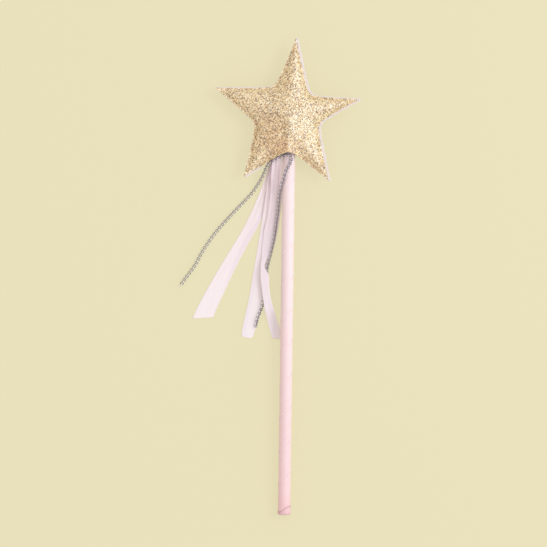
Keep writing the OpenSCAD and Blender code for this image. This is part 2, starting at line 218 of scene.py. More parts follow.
# %% Curves through points
def spline(points, steps):
    """A smooth curve through the points, with that many steps between two of them."""
    p = np.asarray(points, float)
    a, b = np.vstack([p[:1], p[:-2]]), p[:-1]
    c, d = p[1:], np.vstack([p[2:], p[-1:]])
    t = (np.arange(steps) / steps)[None, :, None]
    a, b, c, d = (q[:, None, :] for q in (a, b, c, d))
    curve = 0.5 * (2 * b + (c - a) * t + (2 * a - 5 * b + 4 * c - d) * t**2
                   + (3 * b - a - 3 * c + d) * t**3)
    return np.vstack([curve.reshape(-1, p.shape[1]), p[-1:]])


def run_lengths(curve):
    """The distance along a curve at each of its points."""
    return np.concatenate([[0], np.cumsum(np.linalg.norm(np.diff(curve, axis=0), axis=1))])


def at_run(curve, run, distance):
    """The points of a curve at these distances along it."""
    return np.stack(
        [np.interp(distance, run, curve[:, k]) for k in range(curve.shape[1])], axis=-1)


WIRE_D = 0.5
LINK_OD = 2.7
LINK_SLACK = 0.15
LINK_LEAN, LINK_TWIST = 10, 0.15
LINK_PITCH = LINK_OD - 2 * WIRE_D - LINK_SLACK
RIBBON_LOW = 0.2
RIBBON_STEP = 0.6
OVER_TABLE, OVER_STICK = 0.05, 0.1
RIBBON_RISE, OVER_RIBBON = 0.15, 0.3
CHAIN_LOW = OVER_TABLE + LINK_OD / 2
CHAIN_MID = RIBBON_LOW + RIBBON_STEP + RIBBON_RISE + OVER_RIBBON + LINK_OD / 2
OVER_STICK_R = WRAP_R + OVER_STICK + LINK_OD / 2
RUN_STEPS = 6


def over_stick(x, y):
    """A point of the chain where it lies on the round of the stick, y from the mouth."""
    axis_z = LIFT + (MOUTH_Y + y) * math.sin(TILT)
    return (x, y, axis_z + math.sqrt(OVER_STICK_R**2 - x**2))


LEFT_RUN = [
    (-79.28, -99.54, CHAIN_LOW), (-74, -92, CHAIN_LOW), (-68, -83.5, CHAIN_LOW),
    (-62.5, -73, CHAIN_LOW), (-54.5, -61, CHAIN_LOW), (-47.5, -52.5, CHAIN_LOW),
    (-38, -42, CHAIN_LOW), (-31, -34.5, CHAIN_LOW), (-26.5, -29.5, 1.5),
    (-22.9, -24, 2.3), (-19.4, -18, 4.6), (-16.8, -12, 7.8)]
NECK_RUN = [
    (-14.8, -8.2, 10.4), (-11.6, -5.6, 12.5), (-7.8, -3.8, 13.9),
    over_stick(-4.2, -2.5), over_stick(-1.9, -1.5), over_stick(1, -2.5)]
RIGHT_RUN = [
    over_stick(1.7, -5.4), over_stick(0.7, -8.7), over_stick(-1.2, -12), over_stick(-3, -16.5),
    over_stick(-4.4, -21), over_stick(-5.4, -25), (-6.4, -30, 9.6), (-7, -36, 7.2),
    (-7.4, -42, 5.8), (-8.4, -50, 4.4), (-9.4, -59, 3.6), (-10.6, -66, 3.4),
    (-12.2, -74, 3.2), (-13.8, -80, 2.9), (-15, -86, CHAIN_MID), (-15.2, -92, CHAIN_MID),
    (-15.3, -98, CHAIN_MID), (-17.2, -108, CHAIN_MID), (-18.4, -114, CHAIN_MID),
    (-21, -121, CHAIN_MID), (-22.2, -126, CHAIN_MID), (-23, -129, CHAIN_MID)]

chain_curve = spline(LEFT_RUN + NECK_RUN + RIGHT_RUN, RUN_STEPS) + (0, TABLE_SHIFT, 0)
chain_run = run_lengths(chain_curve)
links_left = int(chain_run[RUN_STEPS * len(LEFT_RUN)] / LINK_PITCH)
links_neck = int(chain_run[RUN_STEPS * len(LEFT_RUN + NECK_RUN)] / LINK_PITCH)
links_all = int(chain_run[-1] / LINK_PITCH)
print("links:", links_left, "left,", links_neck - links_left, "neck,",
      links_all - 1 - links_neck, "right; chain", round(chain_run[-1], 1), "mm")

# %% [markdown]
# ## Chain links
# Each link is a ring of round wire, turned a quarter against the one it hooks into. An
# array along a curve would bend the rings, so each ring is placed by itself with a turn,
# a slope and a heading. A real ring is bent from wire: it has a fine cut where the two
# ends meet. Its colour is darker where the next links hook in; every second ring, which
# stands upright, gets a painted highlight on top, and the flat rings get painted shade.

# %% Making a mesh piece
def piece_from(name, points, faces, finish, smooth=True):
    """A mesh object from points in mm, in table coordinates."""
    mesh = bpy.data.meshes.new(name)
    mesh.from_pydata((np.asarray(points, float) * MM).tolist(), [], faces)
    mesh.materials.append(finish)
    mesh.polygons.foreach_set("use_smooth", [smooth] * len(mesh.polygons))
    mesh.update()
    piece = bpy.data.objects.new(name, mesh)
    bpy.context.scene.collection.objects.link(piece)
    return piece


def set_values(piece, name, per_point):
    """A named value at each point of a piece, for its finish to read."""
    values = piece.data.attributes.new(name, "FLOAT", "POINT")
    values.data.foreach_set("value", np.asarray(per_point, np.float32))


def grid_faces(rows, columns, close_columns=False):
    """Quads over a grid of points that lie row after row."""
    quads = []
    for i in range(rows - 1):
        here, after = i * columns, (i + 1) * columns
        for j in range(columns if close_columns else columns - 1):
            k = (j + 1) % columns
            quads.append((here + j, here + k, after + k, after + j))
    return quads


# %% Pewter finish
def new_finish(name, **sockets):
    """A material with its shader's constant sockets set, its node tree and the shader."""
    finish = bpy.data.materials.new(name)
    finish.use_nodes = True
    shader = finish.node_tree.nodes["Principled BSDF"]
    for socket, value in sockets.items():
        shader.inputs[socket.replace("_", " ")].default_value = value
    return finish, finish.node_tree, shader


pewter, tree, shader = new_finish("pewter_wire", Metallic=1.0)
place = node(tree, "TexCoord").outputs["Object"]
tarnish = node(tree, "TexNoise", Vector=place, Scale=900.0, Detail=4.0, Roughness=0.6)
# Tarnish noise plus the painted glint and shade that each point carries: painted highlights on the
# tops of upright rings, painted shade on the flat rings, darker at the hooks.
glint_shade = node(tree, "Math", {"operation": "MULTIPLY_ADD"})
tree.links.new(tarnish.outputs["Fac"], glint_shade.inputs[0])
glint_shade.inputs[1].default_value = 0.5
tree.links.new(node(tree, "Attribute", {"attribute_name": "glint_shade"}).outputs["Fac"], glint_shade.inputs[2])
tone = ramp(tree, glint_shade.outputs[0], (0.3, (0.08, 0.065, 0.075, 1)), (0.75, (0.34, 0.31, 0.37, 1)),
            (1.0, (0.95, 0.92, 1.0, 1)))
tree.links.new(tone, shader.inputs["Base Color"])
dull = node(tree, "MapRange", Value=tarnish.outputs["Fac"], To_Min=0.42, To_Max=0.2)
tree.links.new(dull.outputs["Result"], shader.inputs["Roughness"])
drawn = node(tree, "TexNoise", Vector=place, Scale=6000.0, Detail=2.0)
scratches = node(tree, "Bump", Height=drawn.outputs["Fac"], Strength=0.12, Distance=0.00004)
tree.links.new(scratches.outputs["Normal"], shader.inputs["Normal"])
print("finish", pewter.name)

# %% Links
ROUND_STEPS, WIRE_STEPS = 26, 10
CUT = math.radians(5)
# Painted highlight: upright rings get the full bright glint on top; flat rings get half of it, as
# painted shade.
UPRIGHT_GLINT, FLAT_SHADED = 1.0, 0.5
ring_r = (LINK_OD - WIRE_D) / 2


def ring():
    """Points and faces of one open ring of wire, flat in x and y, and its painted glint and shade:
    bright at the sides, dark at the hooks.
    """
    turn = np.linspace(CUT / 2, 2 * math.pi - CUT / 2, ROUND_STEPS) + math.pi / 2
    around = np.arange(WIRE_STEPS) * 2 * math.pi / WIRE_STEPS
    wire = WIRE_D / 2 * np.stack([np.cos(around), np.sin(around)], axis=1)
    points = np.array([
        ((ring_r + w[0]) * math.cos(t), (ring_r + w[0]) * math.sin(t), w[1])
        for t in turn for w in wire])
    faces = grid_faces(ROUND_STEPS, WIRE_STEPS, close_columns=True)
    last = (ROUND_STEPS - 1) * WIRE_STEPS
    faces.append(tuple(range(WIRE_STEPS))[::-1])
    faces.append(tuple(last + j for j in range(WIRE_STEPS)))
    return points, [f[::-1] for f in faces], np.repeat(np.abs(np.sin(turn)), WIRE_STEPS)


ring_points, ring_faces, ring_glint_shade = ring()


def chain_piece(name, first, last):
    """A run of hooked links as one mesh, and the line that it follows in metres."""
    points, faces = [], []
    for k in range(first, last + 1):
        before, here, after = (at_run(chain_curve, chain_run, (k + s) * LINK_PITCH)
                               for s in (-0.5, 0, 0.5))
        d = after - before
        roll = math.radians(LINK_LEAN + 90 * (k % 2) + LINK_TWIST * k)
        turned = Euler((roll, -math.atan2(d[2], math.hypot(d[0], d[1])), math.atan2(d[1], d[0])))
        faces += [tuple(n + len(points) * len(ring_points) for n in f) for f in ring_faces]
        points.append(ring_points @ np.array(turned.to_matrix()).T + here)
    line = at_run(chain_curve, chain_run, np.arange(first, last + 0.01, 0.5) * LINK_PITCH) * MM
    links = piece_from(name, np.vstack(points), faces, pewter)
    set_values(links, "glint_shade", np.concatenate(
        [ring_glint_shade * (UPRIGHT_GLINT if k % 2 else FLAT_SHADED) for k in range(first, last + 1)]))
    return links, line


left_links, left_line = chain_piece("chain_left_links", 1, links_left)
neck_links, _ = chain_piece("chain_neck_links", links_left + 1, links_neck)
right_links, right_line = chain_piece("chain_right_links", links_neck + 1, links_all - 1)
for drop, line, body, cad_node in (
        (left_links, left_line[::-1], "left_chain", "chain_left"),
        (right_links, right_line, "right_chain", "chain_right")):
    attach(drop, body)
    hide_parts(cad_node)
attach(neck_links, "wand")
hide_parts("chain_neck")

# %% [markdown]
# ## Ribbon streamers
# Three lengths of half-inch satin ribbon leave the mouth in a gathered stack and lie down
# flat towards their cut ends. Cloth simulation would let them fall anywhere, and these lie
# in known places, so each is swept along its run instead: a cross-section with gathers at
# the top, and lower down with the spare width folded under one edge, so that the cloth
# keeps its flat width of 12.5 mm all the way.

# %% Ribbon runs
PIVOT_X, PIVOT_Y = -9, -2.5
MOUTH_Z = LIFT + MOUTH_Y * math.sin(TILT)
LEFT_Z, MIDDLE_Z, RIGHT_Z = (RIBBON_LOW + k * RIBBON_STEP for k in range(3))
OVER_CHAIN = MIDDLE_Z + 3.6
# Each row: across, along from the mouth, height, shown width, depth of the gathers, and
# the turn of the cut in degrees.
LEFT_PATH = [
    (PIVOT_X, PIVOT_Y, MOUTH_Z - 3.3, 5, 1.2, 0), (-10.5, -9, 5.1, 7, 1.4, 0),
    (-13.2, -18, 3.2, 7.5, 1.4, 0), (-16.2, -27, 1.75, 7.5, 1.2, 0),
    (-21.6, -42, 0.55, 8.4, 0.4, 0), (-25.7, -51.5, 0.35, 9, 0.1, 0),
    (-30.5, -60.5, LEFT_Z, 8.5, 0, 0), (-41, -79.5, LEFT_Z, 9.7, 0, 0),
    (-51, -99, LEFT_Z, 11.8, 0, 0),
    (-58.9, -115, LEFT_Z, 13.2, 0, 10), (-61.8, -122.3, LEFT_Z, 15.2, 0, 25)]
MIDDLE_PATH = [
    (PIVOT_X, PIVOT_Y, MOUTH_Z - 1.4, 5, 1.2, 0), (-9.8, -9, 7.1, 6.4, 1.4, 0),
    (-10.7, -16, 5.75, 7.5, 1.4, 0), (-11.8, -26, 3.95, 8, 1.3, 0),
    (-13.4, -41, 1.9, 9, 0.8, 0), (-15, -56, 1, 9.8, 0.2, 0),
    (-17.2, -71, MIDDLE_Z, 9.8, 0, 0), (-20, -89, MIDDLE_Z, 9.9, 0, 0),
    (-22.8, -108, MIDDLE_Z, 10.2, 0, 0), (-25.6, -121, MIDDLE_Z, 10, 0, 0),
    (-28, -131, MIDDLE_Z, 9.2, 0, 0), (-28.9, -134.7, MIDDLE_Z, 8.2, 0, 0),
    (-29.2, -136.3, MIDDLE_Z, 5.6, 0, 0)]
RIGHT_PATH = [
    (PIVOT_X + 0.6, PIVOT_Y, MOUTH_Z + 0.5, 6.2, 1.2, 0), (-8.58, -9, 9.1, 7.54, 1.4, 0),
    (-8.79, -18, 7.5, 8.22, 1.3, 0), (-8.65, -29, 5.3, 8.7, 1.1, 0),
    (-10.6, -47, 2.65, 9, 0.7, 0), (-12.4, -57, 1.9, 9.6, 0.4, 0),
    (-14.5, -69, RIGHT_Z, 8.6, 0, 0), (-17.1, -78, 2.2, 3.8, 0, 0),
    (-18.2, -84, 3.6, 2.8, 0, 0), (-16.6, -91, OVER_CHAIN, 6, 0, 0),
    (-16, -98, OVER_CHAIN, 5.4, 0, 0), (-14.6, -108, OVER_CHAIN, 5.6, 0, 0),
    (-13.2, -114, 4, 6.4, 0, 0), (-11, -122, 1.8, 6.6, 0, 0),
    (-8.8, -129, RIGHT_Z, 7.4, 0, -6), (-6.4, -137, RIGHT_Z, 8, 0, -24)]
RIBBON_W = 12.5
print("runs of", len(LEFT_PATH), len(MIDDLE_PATH), len(RIGHT_PATH), "points")

# %% Satin finishes
def see_through(tree, shader, alpha):
    """Lets some light straight through a closed thin piece, as if it were one layer."""
    side = node(tree, "NewGeometry").outputs["Backfacing"]
    dense = node(tree, "MapRange", Value=side, To_Min=alpha, To_Max=0.0)
    tree.links.new(dense.outputs["Result"], shader.inputs["Alpha"])


def satin(name, colours, weave_scale, sheen, roughness=0.42, relief=0.2):
    """Thin woven ribbon: tone along and across it, a painted pink shade set per point, fine
    threads, and a soft sheen.
    """
    finish, tree, shader = new_finish(
        name, Roughness=roughness, Sheen_Weight=sheen, Sheen_Roughness=0.35,
        Sheen_Tint=(1.0, 0.94, 0.97, 1), Specular_IOR_Level=0.35)
    flat = node(tree, "UVMap").outputs["UV"]
    streaks = node(tree, "Mapping", Vector=flat, Scale=(9.0, 0.35, 1.0))
    tone = node(tree, "TexNoise", Vector=streaks.outputs["Vector"], Scale=2.4, Detail=5.0,
                Roughness=0.6)
    colour = ramp(tree, tone.outputs["Fac"], *colours)
    # Painted shade: a value at each point makes the colour pinker and darker; each piece sets it
    # where it wants painted shade.
    pink_shade = node(tree, "Attribute", {"attribute_name": "pink_shade"}).outputs["Fac"]
    tint = ramp(tree, pink_shade, (0.0, (1, 1, 1, 1)), (0.5, (0.98, 0.82, 0.83, 1)),
                (1.0, (0.62, 0.42, 0.45, 1)))
    shaded_colour = node(tree, "MixRGB", {"blend_type": "MULTIPLY"}, Fac=1.0, Color1=colour, Color2=tint)
    tree.links.new(shaded_colour.outputs[0], shader.inputs["Base Color"])
    threads = node(tree, "TexWave", {"wave_type": "BANDS", "bands_direction": "X"}, Vector=flat,
                   Scale=weave_scale, Distortion=1.2, Detail=2.0, Detail_Scale=4.0)
    cross = node(tree, "TexWave", {"wave_type": "BANDS", "bands_direction": "Y"}, Vector=flat,
                 Scale=weave_scale * 0.8, Distortion=0.8, Detail=1.0)
    cloth = node(tree, "Math", {"operation": "ADD"})
    tree.links.new(threads.outputs["Fac"], cloth.inputs[0])
    tree.links.new(cross.outputs["Fac"], cloth.inputs[1])
    weave = node(tree, "Bump", Height=cloth.outputs[0], Strength=relief, Distance=0.00004)
    slubs = node(tree, "TexNoise", Vector=streaks.outputs["Vector"], Scale=6.0, Detail=3.0)
    slack = node(tree, "Bump", Height=slubs.outputs["Fac"], Strength=relief, Distance=0.0002,
                 Normal=weave.outputs["Normal"])
    tree.links.new(slack.outputs["Normal"], shader.inputs["Normal"])
    return finish, tree, shader


pale_satin, tree, shader = satin(
    "pale_satin", [(0.3, (0.945, 0.835, 0.875, 1)), (0.5, (0.96, 0.865, 0.915, 1)),
                   (0.7, (0.97, 0.89, 0.94, 1))], 60.0, 0.2)
see_through(tree, shader, 0.88)
print("finish", pale_satin.name)

# %% Sweeping a ribbon
RIBBON_T = 0.09
FOLD_GAP = 0.16
GATHER_SHARE, GATHER_TAKES = 0.6, 0.2
HEM_LEAST, HEM_SHARE = 0.7, 0.86
RIPPLES = ((0.035, 9), (0.03, 4.3))
# Painted shade at the top of the streamers, for pink light bounced off the stick and through the
# stacked layers, fading out down their length.
TOP_PINK_SHADE, PINK_SHADE_END = 0.25, 140
FLAP_STEPS, FOLD_STEPS, FACE_STEPS = 8, 4, 28


def set_uv(piece, per_point):
    """Flat coordinates for a piece, one pair for each of its points."""
    mesh = piece.data
    corner = np.zeros(len(mesh.loops), np.int32)
    mesh.loops.foreach_get("vertex_index", corner)
    mesh.uv_layers.new(name="flat")
    mesh.uv_layers[0].data.foreach_set("uv", np.asarray(per_point, np.float32)[corner].ravel())


def ribbon_section(width, gather, flap, ripple):
    """Across and up, from the free edge of the fold underneath to the far edge on top."""
    across = np.linspace(-1, 1, FACE_STEPS)
    wave = GATHER_SHARE * gather / 2 * np.cos(2 * math.pi * across)
    wave = wave + ripple * np.sin(math.pi * (across + 1) * 1.5)
    top = np.stack([across * width / 2, wave + FOLD_GAP / 2], axis=1)
    edge = top[0]
    bend = np.radians(np.linspace(-90, 90, FOLD_STEPS + 2)[1:-1])
    half_round = np.stack([-np.cos(bend), np.sin(bend)], axis=1)
    fold = edge - (0, FOLD_GAP / 2) + FOLD_GAP / 2 * half_round
    under = np.linspace(flap, 0, FLAP_STEPS)
    below = np.stack([edge[0] + under, np.interp(edge[0] + under, top[:, 0], top[:, 1])], axis=1)
    below[:, 1] -= FOLD_GAP
    return np.vstack([below, fold, top])


def thick_strip(rows, thickness):
    """A closed band from rows of section points: a face on each side and four edges."""
    count, wide = rows.shape[:2]
    along = np.gradient(rows, axis=0)
    across = np.gradient(rows, axis=1)
    normal = np.cross(along, across)
    normal /= np.linalg.norm(normal, axis=2, keepdims=True)
    points = np.concatenate([rows + normal * thickness / 2, rows - normal * thickness / 2])
    size = count * wide
    faces = grid_faces(count, wide)
    faces += [tuple(n + size for n in f[::-1]) for f in grid_faces(count, wide)]
    rim = (list(range(wide)) + [i * wide + wide - 1 for i in range(1, count)]
           + [(count - 1) * wide + j for j in range(wide - 2, -1, -1)]
           + [i * wide for i in range(count - 2, 0, -1)])
    faces += [(b, a, a + size, b + size) for a, b in zip(rim, rim[1:] + rim[:1])]
    return points.reshape(-1, 3), [f[::-1] for f in faces]


def streamer(name, path, fold_left, seed):
    """One ribbon swept along its run, and its length in mm."""
    run = spline(path, 10)
    length = run_lengths(run[:, :3])
    heading = np.gradient(run[:, :2], axis=0)
    rng = np.random.default_rng(seed)
    phase = rng.uniform(0, 2 * math.pi, 3)
    rows, flat = [], []
    for i, (x, y, z, width, gather, turn) in enumerate(run):
        aim = math.atan2(heading[i, 1], heading[i, 0]) + math.pi / 2 + math.radians(turn)
        aside = np.array([math.cos(aim), math.sin(aim)])
        ripple = sum(high * math.sin(length[i] / reach + shift)
                     for (high, reach), shift in zip(RIPPLES, phase))
        spare = RIBBON_W - width * (1 + GATHER_TAKES * gather)
        flap = min(max(spare * (1 - min(gather, 1)), HEM_LEAST), HEM_SHARE * width)
        section = ribbon_section(width, gather, flap, ripple)
        if not fold_left:
            section = section[::-1] * (-1, 1)
        rows.append(np.column_stack([x + section[:, 0] * aside[0], y + section[:, 0] * aside[1],
                                     z + section[:, 1]]))
        wide = run_lengths(section)
        flat.append(np.column_stack(
            [wide / RIBBON_W, np.full(len(wide), length[i] / RIBBON_W)]))
    points, faces = thick_strip(np.array(rows), RIBBON_T)
    piece = piece_from(name, points + (0, TABLE_SHIFT, 0), faces, pale_satin)
    set_uv(piece, np.vstack(flat + flat))
    down = np.repeat(-run[:, 1], len(rows[0]))
    # Painted pink shade, strongest at the mouth.
    set_values(piece, "pink_shade", np.tile(TOP_PINK_SHADE * np.clip(1 - down / PINK_SHADE_END, 0, 1), 2))
    return piece, float(length[-1])


STREAMERS = (("left", LEFT_PATH, False, 3), ("middle", MIDDLE_PATH, True, 5),
             ("right", RIGHT_PATH, True, 8))
for side, path, fold_left, seed in STREAMERS:
    ribbon, long = streamer("ribbon_" + side, path, fold_left, seed)
    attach(ribbon, side + "_streamer")
    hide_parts("streamer_" + side)
    print(ribbon.name, round(long, 1), "mm long,", len(ribbon.data.polygons), "faces")

# %% [markdown]
# ## Tucked ends
# The upper ends of the streamers are folded in three and set in the glue in the mouth. They
# are hardly seen, but a low view from the butt looks in there. A zigzag section pushed
# along the stick is all that they need.

# %% Tucked ends
TUCK_START, TUCK_L = MOUTH_Y + PIVOT_Y + 0.8, 9.0
TUCK_LEVELS = (-3.3, -1.4, 0.5)
TUCK_W, LAYER = 4.1, 0.42
points, faces, flat = [], [], []
for level in TUCK_LEVELS:
    zigzag = []
    for k, side in enumerate((1, -1, 1)):
        for s in np.linspace(-1, 1, 10):
            zigzag.append((side * s * TUCK_W / 2, (k - 1) * LAYER + FOLD_GAP * s * (k < 2)))
    zigzag = np.array(zigzag)
    ys = np.linspace(TUCK_START, TUCK_START + TUCK_L, 8)
    rows = np.array([np.column_stack([
        PIVOT_X + zigzag[:, 0], np.full(len(zigzag), y), level + zigzag[:, 1]]) for y in ys])
    strip_points, strip_faces = thick_strip(rows, RIBBON_T)
    faces += [tuple(n + sum(map(len, points)) for n in f) for f in strip_faces]
    points.append(on_wand(strip_points))
    wide = run_lengths(zigzag) / RIBBON_W
    flat.append(np.tile(np.vstack([np.column_stack([wide, np.full(len(wide), y / RIBBON_W)])
                                   for y in ys]), (2, 1)))
ribbon_ends = piece_from("ribbon_ends", np.vstack(points), faces, pale_satin)
set_uv(ribbon_ends, np.vstack(flat))
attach(ribbon_ends, "wand")
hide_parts("ribbon_tucks")
print(ribbon_ends.name, len(ribbon_ends.data.polygons), "faces")

# %% [markdown]
# ## The wound stick
# One pink satin ribbon climbs the dowel as a helix. Each turn laps over the one below it,
# so the lower edge of every turn shows as a slanting step. A smooth tube with a painted
# line would miss that step from the side, so the band itself is built: across its width it
# runs from the lapped edge down on to the dowel, and it carries the small drag wrinkles
# that a wound ribbon has along its edge.

# %% Pink satin
pink_satin = satin(
    "pink_satin", [(0.3, (0.9, 0.7, 0.715, 1)), (0.5, (0.915, 0.735, 0.75, 1)),
                   (0.7, (0.925, 0.76, 0.775, 1))], 60.0, 0.55, roughness=0.45, relief=0.08)[0]
print("finish", pink_satin.name)

# %% Winding
PITCH = 24.0
SEAM_Y = 27.0
LAP = 3.2
LAP_SLOPE = 1.6
WOUND_R, LAPPED_R = 4.48, 4.64
WOUND_T = 0.16
WIND_START, WIND_END = 0.75, MOUTH_Y + 8
END_TRIM = 2.5
TURN_STEP = 6
BAND_STEPS = 26
WRINKLES, WRINKLE_RISE, WRINKLE_DIP = 46, 0.085, 0.05
rng = np.random.default_rng(21)
wrinkles = [(rng.uniform(0, 12), rng.uniform(0.5, 1.0), rng.uniform(5, 9), rng.uniform(-0.9, 0.9))
            for _ in range(WRINKLES)]


def wound_radius(q, turn):
    """Radius of the band's middle at a height q above its lower edge."""
    rise = np.clip((LAP + LAP_SLOPE - q) / LAP_SLOPE, 0, 1)
    r = WOUND_R + (LAPPED_R - WOUND_R) * rise * rise * (3 - 2 * rise)
    for where, size, reach, skew in wrinkles:
        off = (turn - where) * 360 - q * 4 * skew
        r = r + WRINKLE_RISE * size * np.exp(-(off / 11) ** 2) * np.exp(-((q - 2) / reach) ** 2)
        r = r - (WRINKLE_DIP * size * np.exp(-((off - 17) / 12) ** 2)
                 * np.exp(-((q - 3) / reach) ** 2))
    return np.minimum(r, WRAP_R - WOUND_T / 2)


def lower_edge(degrees):
    """Height of the band's lower edge after so much winding."""
    return SEAM_Y - PITCH + PITCH * degrees / 360


first = 360 * (WIND_START + END_TRIM - PITCH - LAP - SEAM_Y + PITCH) / PITCH
last = 360 * (WIND_END - END_TRIM - SEAM_Y + PITCH) / PITCH
angles = np.arange(math.ceil(first / TURN_STEP), math.floor(last / TURN_STEP) + 1) * TURN_STEP
rows, flat = [], []
for a in angles:
    low, high = lower_edge(a), lower_edge(a) + PITCH + LAP
    y = np.linspace(max(low, WIND_START), min(high, WIND_END), BAND_STEPS)
    r = wound_radius(y - low, a / 360)
    rows.append(np.column_stack([r * math.sin(math.radians(a)), y, r * math.cos(math.radians(a))]))
    flat.append(np.column_stack([(y - low) / (PITCH + LAP), np.full(len(y), a / 360 * 1.4)]))
points, faces = thick_strip(np.array(rows), WOUND_T)
stick_ribbon = piece_from("stick_ribbon", on_wand(points), faces, pink_satin)
set_uv(stick_ribbon, np.vstack(flat + flat))
up = points[:, 1]
# Painted shade: the ribbon gets pinker and darker towards the butt, a painted falloff of the
# light, and a little darker in a band just above the folded cap.
pink_shade = 0.42 * np.clip(1 - up / 190, 0, 1) + 0.12 * np.exp(-((up - 9) / 6) ** 2)
set_values(stick_ribbon, "pink_shade", pink_shade)
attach(stick_ribbon, "wand")
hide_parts("stick_wrap", "butt_turn")

# %% [markdown]
# ## The folded butt
# At the butt the ribbon end is folded over the end of the dowel and pressed flat: a soft
# cap with a slanting flap on the front. The cap is a lathe shape whose rim height changes
# round the stick, which gives the slant, and shallow pleats keep it from looking turned.

# %% Folded butt
CAP_STEPS, END_ROWS, BEND_ROWS, SIDE_ROWS = 72, 8, 7, 10
CAP_R, CAP_BEND, CAP_T = 4.70, 0.55, 0.14
CAP_LOW, SIDE_LOW, RIM_LEAST = 0.12, 0.67, 1.6
cap_turn = np.arange(CAP_STEPS) * 2 * math.pi / CAP_STEPS
front = np.cos(cap_turn / 2) ** 2
rim_y = 5.0 + 3.2 * np.sin(cap_turn - 0.05) * front + 0.3 * np.sin(3 * cap_turn + 1)
rim_y = np.maximum(rim_y, RIM_LEAST)
pleat = 0.07 * np.sin(7 * cap_turn + 0.8) + 0.05 * np.sin(11 * cap_turn)
cap_r = CAP_R + 0.2 * front


def cap_row(r, y):
    """One round of the cap's outer side, at a radius and a height."""
    return np.column_stack(
        [r * np.sin(cap_turn), np.broadcast_to(y, CAP_STEPS), r * np.cos(cap_turn)])


profile = []
for k in np.linspace(0.06, 1, END_ROWS):
    dip = 0.22 * math.sin(math.pi * k) + pleat * math.sin(math.pi * k)
    profile.append(cap_row((cap_r - CAP_BEND) * k, CAP_LOW + np.abs(dip)))
for k in np.linspace(0.15, 1, BEND_ROWS):
    bend = k * math.pi / 2
    profile.append(cap_row(cap_r - CAP_BEND + CAP_BEND * math.sin(bend),
                           CAP_LOW + CAP_BEND * (1 - math.cos(bend))))
for k in np.linspace(0.12, 1, SIDE_ROWS):
    profile.append(cap_row(cap_r - 0.05 * k + pleat * 0.8 * math.sin(math.pi * k) * front,
                           SIDE_LOW + (rim_y - SIDE_LOW) * k))
outer = np.array(profile)
axis_point = np.array([0, 1, 0])
inward = outer * (1, 0, 1)
inward /= np.maximum(np.linalg.norm(inward, axis=2, keepdims=True), 1e-9)
slope = np.gradient(outer, axis=0)
side = np.cross(slope, np.cross(inward, axis_point))
side /= np.linalg.norm(side, axis=2, keepdims=True)
inner = outer + CAP_T * np.where((side * inward).sum(2, keepdims=True) > 0, -side, side)
inner[:END_ROWS] = outer[:END_ROWS] + (0, CAP_T, 0)
count = len(outer)
size = count * CAP_STEPS
faces = grid_faces(count, CAP_STEPS, close_columns=True)
faces += [tuple(n + size for n in f[::-1]) for f in faces]
edge = (count - 1) * CAP_STEPS
for j in range(CAP_STEPS):
    k = (j + 1) % CAP_STEPS
    faces.append((edge + j, edge + k, edge + k + size, edge + j + size))
faces.append(tuple(range(CAP_STEPS))[::-1])
faces.append(tuple(size + j for j in range(CAP_STEPS)))
points = np.vstack([outer.reshape(-1, 3), inner.reshape(-1, 3)])
butt_cap = piece_from("butt_cap", on_wand(points), faces, pink_satin)
set_uv(butt_cap, np.column_stack([points[:, 0] / 20, points[:, 1] / 20 + points[:, 2] / 60]))
# Painted shade: the cap is darker all over, with a painted shadow along the edge of its flap and
# darker still at the very end.
edge_off = np.tile(np.tile(rim_y, count) - outer[:, :, 1].ravel(), 2)
near_end = np.exp(-(points[:, 1] / 1.6) ** 2)
set_values(butt_cap, "pink_shade", 0.58 + 0.3 * np.exp(-(edge_off / 1.1) ** 2) + 0.2 * near_end)
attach(butt_cap, "wand")
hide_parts("butt_fold")
print(butt_cap.name, len(butt_cap.data.polygons), "faces")

# %% [markdown]
# ## Dowel and glue
# The dowel and the blob of hot-melt glue are rigid and have their true shapes already, so
# the solids stay and only get a finish: long wood grain for the one, a milky gloss with
# small lumps for the other.

# %% Dowel and glue
def dress(cad_node, finish):
    """A CAD solid with a finish of its own."""
    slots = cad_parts[cad_node].data.materials
    slots.clear()
    slots.append(finish)


def colour_and_relief(tree, shader, noise, stops, strength, distance):
    """Colours a surface by a noise, and raises it a little by the same noise."""
    tree.links.new(ramp(tree, noise, *stops), shader.inputs["Base Color"])
    relief = node(tree, "Bump", Height=noise, Strength=strength, Distance=distance)
    tree.links.new(relief.outputs["Normal"], shader.inputs["Normal"])


dowel_wood, tree, shader = new_finish("dowel_wood", Roughness=0.62)
place = node(tree, "TexCoord").outputs["Object"]
grain_space = node(tree, "Mapping", Vector=place, Scale=(900.0, 30.0, 900.0))
grain = node(tree, "TexNoise", Vector=grain_space.outputs["Vector"], Scale=1.0, Detail=6.0,
             Roughness=0.65)
wood_tones = ((0.3, (0.42, 0.27, 0.13, 1)), (0.55, (0.62, 0.44, 0.25, 1)),
              (0.75, (0.72, 0.55, 0.34, 1)))
colour_and_relief(tree, shader, grain.outputs["Fac"], wood_tones, 0.3, 0.0001)
dress("stick_core", dowel_wood)

hot_glue, tree, shader = new_finish("hot_glue", Roughness=0.22, Transmission_Weight=0.25,
                                    Subsurface_Weight=0.2, Subsurface_Scale=0.002)
place = node(tree, "TexCoord").outputs["Object"]
lumps = node(tree, "TexNoise", Vector=place, Scale=420.0, Detail=3.0)
glue_tones = ((0.35, (0.78, 0.74, 0.62, 1)), (0.7, (0.90, 0.87, 0.78, 1)))
colour_and_relief(tree, shader, lumps.outputs["Fac"], glue_tones, 0.5, 0.0006)
dress("mouth_glue", hot_glue)
print("dressed stick_core and mouth_glue")

# %% [markdown]
# ## The star's outline
# The star was cut by hand: its five arms differ a little in reach and in direction, and its
# inner corners are rounded. The same few numbers as in the solids describe it. Contours
# run from the star at the rim to a circle near the centre, and a point's contour number u
# (0 in the centre, 1 on the rim) says how puffed the fabric is there.

